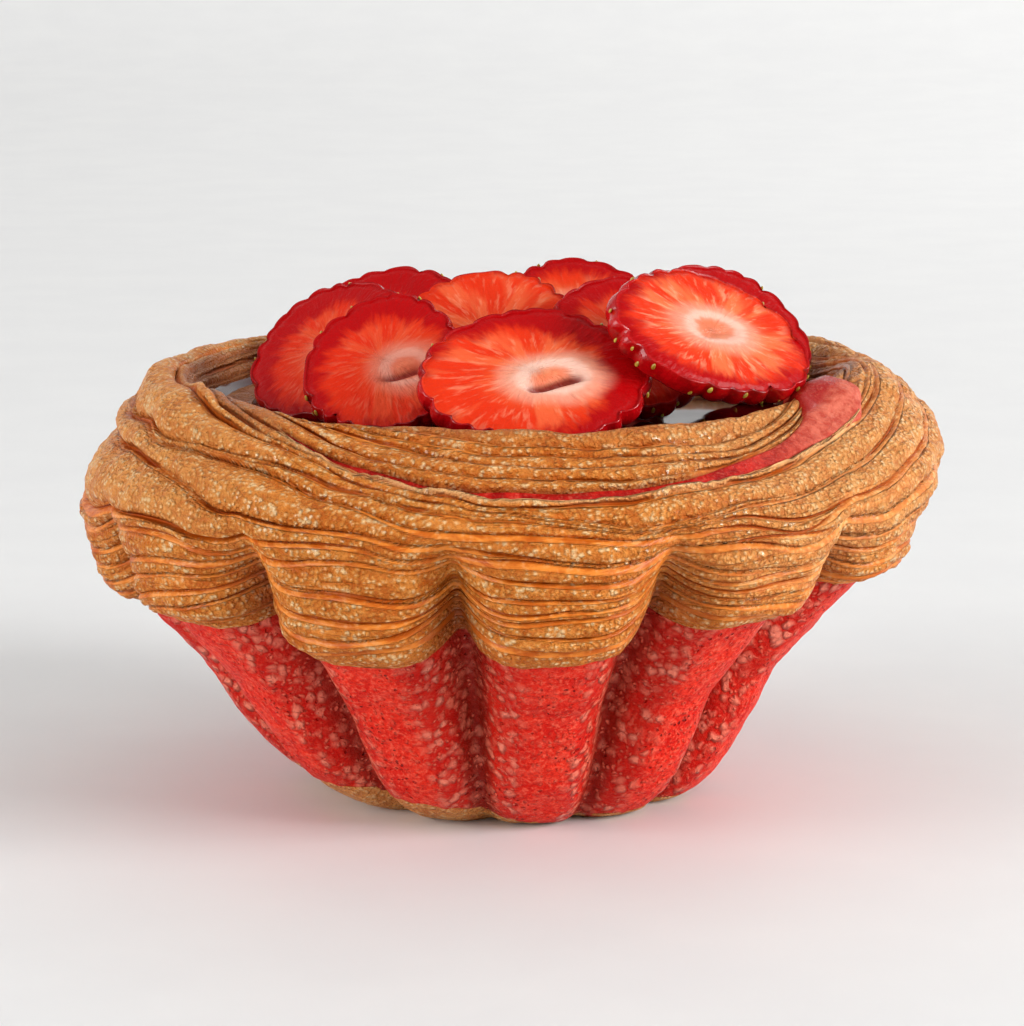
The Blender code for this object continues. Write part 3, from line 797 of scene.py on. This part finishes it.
def red_dough(name):
    """Dough coloured red: a speckled matt crest, glossy flanks with pale blisters, and dark pits."""
    red = Finish(name)
    flank = red.mask("flank")
    patches = red.noise(240.0, 3.0)
    speckle = red.noise(1700.0, 4.0, 0.7)
    here = red.place()
    wobble = red.add("ShaderNodeTexNoise", {}, {"Vector": here, "Scale": 500.0}, "Color")
    shift = red.add("ShaderNodeVectorMath", {"operation": "SCALE"}, {0: wobble, "Scale": 0.0014})
    bent = red.add("ShaderNodeVectorMath", {"operation": "ADD"}, {0: here, 1: shift})
    blister, blister_tint = red.bubbles(BLISTERS, at=bent), red.bubble_tint(BLISTERS, bent)
    small, small_tint = red.bubbles(SMALL_BLISTERS, at=bent), red.bubble_tint(SMALL_BLISTERS, bent)
    pits_here = red.noise(170.0, 2.0).over(0.50, 0.60)
    pit = (1 - small.over(0.15, 0.36)) * (1 - small_tint.over(0.25, 0.45)) * pits_here
    on_flank = flank.over(0.12, 0.50)
    valley = flank.over(0.80, 0.98)
    swollen = (1 - blister.over(0.22, 0.66)) * blister_tint.over(0.05, 0.60)
    swollen = swollen * (on_flank * (0.62 + 0.38 * patches.over(0.42, 0.56)) + 0.14) * (1 - valley * 0.5)
    dots = (1 - small.over(0.12, 0.50)) * small_tint.over(0.25, 0.80)
    colour = red.mix(patches.over(0.3, 0.7), *RED)
    colour = red.mix((1 - speckle.over(0.34, 0.50)) * 0.60, colour, RED_GRAIN_DARK)
    colour = red.mix(speckle.over(0.50, 0.64) * 0.60, colour, RED_GRAIN_PALE)
    colour = red.mix(on_flank * 0.55, colour, RED_ON_FLANK)
    # Painted shade down the bottoms of the flute valleys.
    colour = red.mix(valley * 0.75, colour, RED_VALLEY_PAINTED_SHADE)
    colour = red.mix(dots * (0.22 + 0.55 * on_flank), colour, RED_DOT)
    colour = red.mix(swollen * (0.50 + 0.50 * speckle), colour, RED_BLISTER)
    colour = red.mix(pit * (1 - on_flank * 0.8) * 0.9, colour, RED_PIT)
    height = swollen * 1.5 + dots * 0.8 + speckle * 0.9 - pit * 1.8
    return red.set(
        Base_Color=colour, Roughness=0.44 - 0.14 * on_flank + 0.08 * speckle,
        Normal=red.bump(height, 0.00036), Specular_IOR_Level=0.08,
        Coat_Weight=0.01 + 0.45 * swollen + 0.20 * dots * on_flank, Coat_Roughness=0.10,
    )


red_sheet.data.materials.append(red_dough("red_dough"))
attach(red_sheet, "root")
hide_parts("red_sheet")


# The red ribbon: the cut edge of the inner turn's red sheet, thin in front and broad at the right,
# where the end of the sheet folds over as a tab.
RIBBON_ROWS = 44
RIBBON_COLUMNS = 400
RIBBON_FROM = -42
RIBBON_TO = 70
RIBBON_TUCK = 0.15
RIBBON_SUNK = 0.00040
TAB_RISE = 0.00030
TAB_CURL = 0.0009
RIBBON_EDGE_DROP = 0.0012
TAB_END_DROP = 0.0016
CUT_RED = ((0.30, 0.001, 0.001), (0.56, 0.014, 0.008))
CUT_SALMON = ((0.46, 0.050, 0.028), (0.66, 0.15, 0.092))
CUT_ON_WALL = (0.34, 0.003, 0.003)
CUT_PALE = (0.85, 0.24, 0.14)
ribbon_turn = np.radians(np.linspace(RIBBON_FROM, RIBBON_TO, RIBBON_COLUMNS))
ribbon_surface = Surface(ribbon_turn)
ribbon_low, ribbon_high = (ribbon_surface.length(e) for e in by_angle(RIBBON_EDGES, ribbon_turn))
across = np.linspace(-RIBBON_TUCK, 1 + RIBBON_TUCK, RIBBON_ROWS)[:, None]
ribbon_reach = np.clip(ribbon_low + across * (ribbon_high - ribbon_low), 0, ribbon_surface.whole - 0.0004)
ribbon_rz, ribbon_out = ribbon_surface.at(ribbon_reach)
ribbon_inner = (ribbon_reach - ribbon_surface.split) / (ribbon_surface.whole - ribbon_surface.split)
ribbon_tab = past(35, 60, ribbon_turn)
ribbon_curl = past(60, 66, ribbon_turn)
ribbon_edge = np.abs(2 * np.clip((across + RIBBON_TUCK) / (1 + 2 * RIBBON_TUCK), 0, 1) - 1) ** 8
ribbon_lift = TAB_RISE * ribbon_tab + TAB_CURL * ribbon_curl - RIBBON_SUNK * (1 - ribbon_tab)
ribbon_lift = ribbon_lift - RIBBON_EDGE_DROP * ribbon_edge
ribbon_lift = ribbon_lift + 0.00018 * streaks(ribbon_turn, ribbon_reach, 9.0, 0.0011, 82)
ribbon_lift = ribbon_lift - TAB_END_DROP * past(68.6, RIBBON_TO, ribbon_turn)
ribbon_rz = ribbon_rz + ribbon_out * ribbon_lift[..., None]
red_ribbon = grid_mesh("red_ribbon_edge", ring_points(ribbon_turn, ribbon_rz)[::-1], False, {
    "tab": ribbon_tab,
    "wall": (smooth(0.14, 0.30, ribbon_inner) * smooth(0.75, 1.0, ribbon_tab))[::-1],
})
cut_red = Finish("red_ribbon_dough")
cut_tab, cut_wall = cut_red.mask("tab"), cut_red.mask("wall")
cut_grain = cut_red.noise(700.0, 4.0, 0.65)
cut_fine = cut_red.noise(2300.0, 3.0, 0.6)
cut_colour = cut_red.mix(cut_grain.over(0.35, 0.65), *CUT_RED)
cut_salmon = cut_red.mix(cut_grain.over(0.35, 0.65), *CUT_SALMON)
cut_colour = cut_red.mix(cut_tab, cut_colour, cut_salmon)
cut_colour = cut_red.mix(cut_wall * 0.9, cut_colour, CUT_ON_WALL)
red_ribbon.data.materials.append(cut_red.set(
    Base_Color=cut_red.mix(cut_fine.over(0.5, 0.75) * 0.25, cut_colour, CUT_PALE),
    Roughness=0.42 - 0.22 * cut_wall, Normal=cut_red.bump(cut_fine + cut_grain, 0.00018),
    Specular_IOR_Level=0.12, Coat_Weight=0.05 + 0.25 * cut_wall, Coat_Roughness=0.12,
))
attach(red_ribbon, "root")
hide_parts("red_ribbon")


# The jelly: dark red fruit jelly poured warm into the cup, so it lies level, creeps a little up the
# dough, and is glossy as glass.
JELLY_COLUMNS = 240
JELLY_ROWS = 60
JELLY_UNDER_DOUGH = 0.0004
JELLY_CREEP = 0.0010
JELLY_RIPPLE = 0.00012
JELLY_RED = ((0.030, 0.0005, 0.0006), (0.075, 0.002, 0.003))
jelly_turn = full_turn(JELLY_COLUMNS)
jelly_rim = collar_line(jelly_turn)[:, -1, 0] + JELLY_UNDER_DOUGH
jelly_rows = []
for share in np.linspace(0.01, 1.0, JELLY_ROWS):
    r = jelly_rim * share
    creep = JELLY_CREEP * smooth(0.93, 1.0, share) ** 2
    ripple = JELLY_RIPPLE * lumps(level_points(jelly_turn, r), 0.006, 91)
    jelly_rows.append(np.stack([r, JELLY_Z + creep + ripple], -1))
jelly_rz = np.stack(jelly_rows[::-1])
jelly = grid_mesh("jelly_fill", ring_points(jelly_turn, jelly_rz), True)
glossy = Finish("dark_jelly")
cloud = glossy.noise(120.0, 2.0)
jelly.data.materials.append(glossy.set(
    Base_Color=glossy.mix(cloud.over(0.3, 0.7), *JELLY_RED),
    Roughness=0.05 + 0.05 * cloud, Specular_IOR_Level=0.12,
))
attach(jelly, "root")
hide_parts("jelly")


# The strawberry slices: cut across the berry about 3 mm thick and leaned in the jelly like tiles.
# Each has a wet cut face with pale spokes and core, a dimpled red skin, and seeds in the dimples.
SLICE_THICK = 0.0029
SLICE_COLUMNS = 160
SLICE_BACK_ROWS = 9
SLICE_SKIN_ROWS = 12
SLICE_FACE_ROWS = 40
SLICE_SUNK = 0.0008
SCALLOPS = (19, 24)
SCALLOP_DEPTH = 0.105
FACE_UNEVEN = 0.00012
FACE_ROUNDED = 0.00030
SLIT_LONG = 0.0036
SLIT_WIDE = 0.00070
# The hollow depth at which the slit's painted shade is at full strength.
SLIT_SHADE_FULL_DEPTH = 0.0012
HEART_LONG = 0.0052
HEART_WIDE = 0.0033
HEART_RISE = 0.00035
SEED_ROWS = 2
SEED_LEFT_OUT = 0.45
SEED_SIZE = (0.00050, 0.00030, 0.00020)
SEED_RINGS = 7
SEED_SIDES = 8
FLESH = ((0.76, 0.105, 0.025), (0.70, 0.030, 0.005))
FLESH_STREAK = (0.86, 0.20, 0.07)
FLESH_FINE_STREAK = (0.88, 0.36, 0.20)
FLESH_RED = (0.58, 0.016, 0.004)
FLESH_RIM = (0.40, 0.001, 0.002)
FLESH_PALE = (0.80, 0.42, 0.30)
FLESH_RING = (0.86, 0.58, 0.47)
FLESH_HEART = ((0.82, 0.17, 0.060), (0.88, 0.34, 0.17))
# Painted shade: the dark red drawn into the slit at the heart of a slice.
SLIT_PAINTED_SHADE = (0.22, 0.012, 0.010)
BERRY_SKIN = ((0.20, 0.0005, 0.002), (0.46, 0.002, 0.004))
FLESH_SCATTER = (0.0020, 0.0005, 0.0003)
SEED_TAN = ((0.36, 0.22, 0.020), (0.56, 0.44, 0.06))
SLICES = {
    "slice_front": dict(at=(0.0026, -0.0236, 0.0540), face=6, lean=48, roll=2, width=0.0272,
                        height=0.0200, point=0.05, core=1.0, hollow=0.0016, heart=(0.16, -0.10),
                        pale=0.50, deep=(0.24, 0.16), dark=0.07, red=0.00),
    "slice_right": dict(at=(0.0232, -0.0182, 0.0582), face=34, lean=42, roll=-22, width=0.0260,
                        height=0.0174, point=0.10, core=0.85, hollow=0.0004, heart=(0.02, 0.02),
                        pale=1.0, deep=(-0.05, -0.10), dark=0.00, red=0.00),
    "slice_left": dict(at=(-0.0149, -0.0166, 0.0545), face=-14, lean=44, roll=4, width=0.0196,
                       height=0.0200, point=0.08, core=0.45, hollow=0.0009, heart=(0.30, -0.12),
                       pale=0.35, deep=(-0.06, 0.20), dark=0.09, red=0.45),
    "slice_far_left": dict(at=(-0.0217, -0.0056, 0.0547), face=-34, lean=46, roll=6, width=0.0215,
                           height=0.0215, point=0.10, core=0.25, hollow=0.0003, heart=(0.20, -0.10),
                           pale=0.40, deep=(-0.20, 0.16), dark=0.10, red=0.42),
    "slice_mid": dict(at=(-0.0026, -0.0034, 0.0558), face=-2, lean=48, roll=-4, width=0.0236,
                      height=0.0215, point=0.06, core=0.15, hollow=0.0002, heart=(0.0, -0.20),
                      pale=0.45, deep=(0.0, -0.16), dark=-0.02, red=0.00),
    "slice_mid_right": dict(at=(0.0140, -0.0090, 0.0560), face=14, lean=46, roll=-12, width=0.0200,
                            height=0.0205, point=0.08, core=0.3, hollow=0.0002, heart=(0.0, -0.10),
                            pale=0.20, deep=(0.05, 0.20), dark=0.06, red=0.30),
    "slice_back_left": dict(at=(-0.0158, 0.0120, 0.0546), face=-22, lean=48, roll=0, width=0.0235,
                            height=0.0220, point=0.08, core=0.3, hollow=0.0003, heart=(0.0, -0.10),
                            pale=0.15, deep=(0.0, 0.34), dark=0.16, red=0.50),
    "slice_back": dict(at=(0.0080, 0.0120, 0.0554), face=2, lean=48, roll=0, width=0.0245,
                       height=0.0220, point=0.06, core=0.7, hollow=0.0003, heart=(0.0, 0.10),
                       pale=0.50, deep=(0.0, 0.06), dark=0.02, red=0.10),
    "slice_back_right": dict(at=(0.0258, 0.0030, 0.0560), face=30, lean=44, roll=-20, width=0.0240,
                             height=0.0200, point=0.10, core=0.4, hollow=0.0003, heart=(0.0, 0.0),
                             pale=0.20, deep=(0.10, 0.26), dark=0.14, red=0.40),
}


def slice_turn(spec):
    """How a slice is turned: rolled in its own plane, leaned back, then faced round the cup."""
    turn = Matrix.Rotation(math.radians(spec["face"]), 3, "Z")
    turn = turn @ Matrix.Rotation(math.pi / 2 - math.radians(spec["lean"]), 3, "X")
    return turn @ Matrix.Rotation(math.radians(spec["roll"]), 3, "Z")


def slice_grid(spec, seed):
    """Rows of points from the middle of the back face over the skin to the middle of the front."""
    at = full_turn(SLICE_COLUMNS)
    rng = np.random.default_rng(100 + seed)
    scallops = rng.integers(*SCALLOPS)
    phase = rng.uniform(0, 6.28)
    egg = 1 - spec["point"] * np.sin(at) * 0.5
    bent = at + 0.10 * np.sin(2 * at + phase) + 0.06 * np.sin(5 * at + 3 * phase)
    deep = 0.55 + 0.45 * np.sin(3 * at + 2 * phase) * np.sin(7 * at + phase)
    dimple = 1 - (1 - np.abs(np.sin(bent * scallops / 2 + phase)) ** 0.80) * deep
    wobble = 0.014 * np.sin(3 * at + phase) + 0.010 * np.sin(5 * at + 2 * phase)
    outline = np.stack([spec["width"] / 2 * np.cos(at) * egg, spec["height"] / 2 * np.sin(at)], -1)
    outline = outline * (1 + wobble)[:, None]
    rows, skins, slit_shades = [], [], []
    back = [(s, -1.0, 0.0) for s in np.linspace(0.003, 0.90, SLICE_BACK_ROWS)]
    skin = [(0.93 + 0.07 * math.sin(math.pi * (0.12 + 0.76 * s)) ** 0.8, -1 + s, 1.0)
            for s in np.linspace(0.02, 0.98, SLICE_SKIN_ROWS)]
    front = [(s, 0.0, 0.0) for s in np.linspace(0.955, 0.003, SLICE_FACE_ROWS)]
    for scale, depth, is_skin in back + skin + front:
        near_edge = smooth(0.7, 1.0, scale)
        scallop = 1 - SCALLOP_DEPTH * (1 - dimple) * (0.75 + 0.25 * is_skin) * near_edge
        xy = outline * (scale * scallop)[:, None]
        z = np.full(SLICE_COLUMNS, depth * SLICE_THICK)
        opened = 0 * z
        if not is_skin and depth == 0.0:
            cell = np.stack([xy[:, 0], xy[:, 1], 0 * z], -1)
            z += FACE_UNEVEN * lumps(cell, 0.0022, seed) - FACE_ROUNDED * smooth(0.84, 0.96, scale)
            long = xy - np.array(spec["heart"]) * (spec["width"] / 2, spec["height"] / 2)
            slit = long[:, 1] + 0.0006 - 0.0007 * np.sin(long[:, 0] / 0.0016)
            opened = np.exp(-(long[:, 0] / SLIT_LONG) ** 4 - (slit / SLIT_WIDE) ** 2)
            z -= spec["hollow"] * opened
            away = np.hypot(long[:, 0] / HEART_LONG, long[:, 1] / HEART_WIDE)
            z += HEART_RISE * spec["core"] * np.exp(-((away - 0.75) / 0.3) ** 2)
        rows.append(np.column_stack([xy, z]))
        skins.append(is_skin)
        # Painted shade: the slit's groove is also marked to be drawn dark, more so the deeper its hollow.
        slit_shades.append(opened * min(1.0, spec["hollow"] / SLIT_SHADE_FULL_DEPTH))
    grid = np.stack(rows)
    masks = {
        "across": grid[..., 0] / (spec["width"] / 2), "upward": grid[..., 1] / (spec["height"] / 2),
        "skin": np.array(skins)[:, None], "slit": np.stack(slit_shades),
    }
    return grid, masks, at, outline, scallops


def berry(name, spec):
    """Wet strawberry: deep red under the skin, orange flesh with pale spokes, and a pale core."""
    flesh = Finish(name)
    x, y, skin = flesh.mask("across"), flesh.mask("upward"), flesh.mask("skin")
    out = (x * x + y * y) ** 0.5
    aim = flesh.add("ShaderNodeCombineXYZ", {}, {0: x / (out + 0.05), 1: y / (out + 0.05), 2: out * 0.35})
    spokes = flesh.noise(3.6, 2.0, 0.5, aim)
    fine_spokes = flesh.noise(11.0, 3.0, 0.6, aim)
    patches = flesh.noise(260.0, 3.0)
    grain = flesh.noise(1500.0, 3.0)
    from_x, from_y = x - spec["heart"][0], y - spec["heart"][1]
    near = (from_x * from_x + from_y * from_y * 1.5) ** 0.5
    near = near + (patches - 0.5) * 0.12 + (spokes - 0.5) * 0.10
    rim = out + spec["dark"] + x * spec["deep"][0] + y * spec["deep"][1]
    rim = rim + (spokes - 0.5) * 0.40 + (fine_spokes - 0.5) * 0.38
    colour = flesh.mix(near.over(0.25, 0.75), *FLESH)
    streak = spokes.over(0.46, 0.62) * near.over(0.25, 0.50) * (1 - rim.over(0.70, 0.94))
    colour = flesh.mix(streak * (0.20 + 0.45 * spec["pale"]), colour, FLESH_STREAK)
    fine = fine_spokes.over(0.50, 0.68) * near.over(0.25, 0.45) * (1 - rim.over(0.74, 0.96))
    colour = flesh.mix(fine * (0.10 + 0.48 * spec["pale"]), colour, FLESH_FINE_STREAK)
    colour = flesh.mix(spec["red"], colour, FLESH_RED)
    colour = flesh.mix(rim.over(0.70, 0.93), colour, FLESH_RIM)
    pale = (1 - near.over(0.34, 0.58)) * (0.70 + 0.30 * grain)
    colour = flesh.mix(pale * 0.80 * spec["core"], colour, FLESH_PALE)
    ring = near.over(0.16, 0.24) * (1 - near.over(0.28, 0.38))
    colour = flesh.mix(ring * 0.7 * spec["core"], colour, FLESH_RING)
    slit = flesh.mask("slit")
    heart = (1 - near.over(0.10, 0.22)) * (1 - 0.6 * slit)
    heart_tone = flesh.mix(patches.over(0.4, 0.6), *FLESH_HEART)
    colour = flesh.mix(heart * 0.8 * spec["core"], colour, heart_tone)
    # Painted shade in the slit at the heart.
    colour = flesh.mix(slit.over(0.25, 0.75) * 0.9, colour, SLIT_PAINTED_SHADE)
    skin_red = flesh.mix(patches.over(0.35, 0.65), *BERRY_SKIN)
    colour = flesh.mix(skin.over(0.3, 0.9), colour, skin_red)
    height = fine_spokes * 0.9 + spokes * 0.6 + grain * 0.4 + patches * 0.6
    return flesh.set(
        Base_Color=colour, Roughness=0.30 - 0.14 * skin + 0.10 * grain,
        Normal=flesh.bump(height, 0.00028),
        Specular_IOR_Level=0.08, Coat_Weight=0.06 + 0.50 * skin, Coat_Roughness=0.04,
        Subsurface_Weight=0.08, Subsurface_Radius=FLESH_SCATTER, Subsurface_Scale=1.0,
    )


def seeds_on(name, outline, at, scallops, seed):
    """Seeds: small flat drops set in the dimples of the skin, their points towards the berry's tip."""
    rng = np.random.default_rng(300 + seed)
    down = np.linspace(0, math.pi, SEED_RINGS)
    around = full_turn(SEED_SIDES)
    whole_turn = np.append(at, 2 * math.pi)
    whole_outline = np.append(outline, outline[:1], axis=0)
    points, faces = [], []
    for k in range(scallops):
        for row in range(SEED_ROWS):
            if rng.uniform() < SEED_LEFT_OUT:
                continue
            turn = (k + 0.5 * row + rng.uniform(-0.2, 0.2)) * 2 * math.pi / scallops
            turn = turn % (2 * math.pi)
            here = np.array([np.interp(turn, whole_turn, whole_outline[:, i]) for i in (0, 1)])
            away = here / np.linalg.norm(here)
            side = np.array([-away[1], away[0]])
            depth = -SLICE_THICK * (0.28 + 0.42 * row + rng.uniform(-0.06, 0.06))
            start = len(points)
            size = rng.uniform(0.65, 1.0)
            for p in down:
                for q in around:
                    a = math.cos(p) * SEED_SIZE[0] * size
                    b = math.sin(p) * math.cos(q) * SEED_SIZE[1] * size * (1 - 0.35 * math.cos(p))
                    c = math.sin(p) * math.sin(q) * SEED_SIZE[2] * size
                    xy = here * 0.982 + away * c + side * b
                    points.append((xy[0], xy[1], depth + a))
            for i in range(SEED_RINGS - 1):
                ring, below = start + i * SEED_SIDES, start + (i + 1) * SEED_SIDES
                for j in range(SEED_SIDES):
                    beside = (j + 1) % SEED_SIDES
                    faces.append((ring + j, ring + beside, below + beside, below + j))
    mesh = bpy.data.meshes.new(name)
    mesh.from_pydata(points, [], faces)
    mesh.shade_smooth()
    obj = bpy.data.objects.new(name, mesh)
    bpy.context.scene.collection.objects.link(obj)
    return obj


seed_finish = Finish("berry_seeds")
seed_tone = seed_finish.noise(900.0, 2.0)
seed_coat = seed_finish.set(
    Base_Color=seed_finish.mix(seed_tone.over(0.35, 0.65), *SEED_TAN),
    Roughness=0.3 + 0.1 * seed_tone, Coat_Weight=0.5, Coat_Roughness=0.05,
)
for number, (name, spec) in enumerate(SLICES.items()):
    grid, masks, at, outline, scallops = slice_grid(spec, number)
    place = Matrix.Translation(Vector(spec["at"])) @ slice_turn(spec).to_4x4()
    flat = grid.reshape(-1, 3) @ np.array(place.to_3x3()).T + np.array(place.translation)
    flat[:, 2] = np.maximum(flat[:, 2], JELLY_Z - SLICE_SUNK)
    piece = grid_mesh(name.replace("slice", "berry_slice"), flat.reshape(grid.shape), True, masks)
    piece.data.materials.append(berry(name.replace("slice", "berry"), spec))
    seeds = seeds_on(name.replace("slice", "seeds"), outline, at, scallops, number)
    seeds.data.transform(place)
    seeds.data.materials.append(seed_coat)
    for part in (piece, seeds):
        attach(part, "root")
    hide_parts(name)
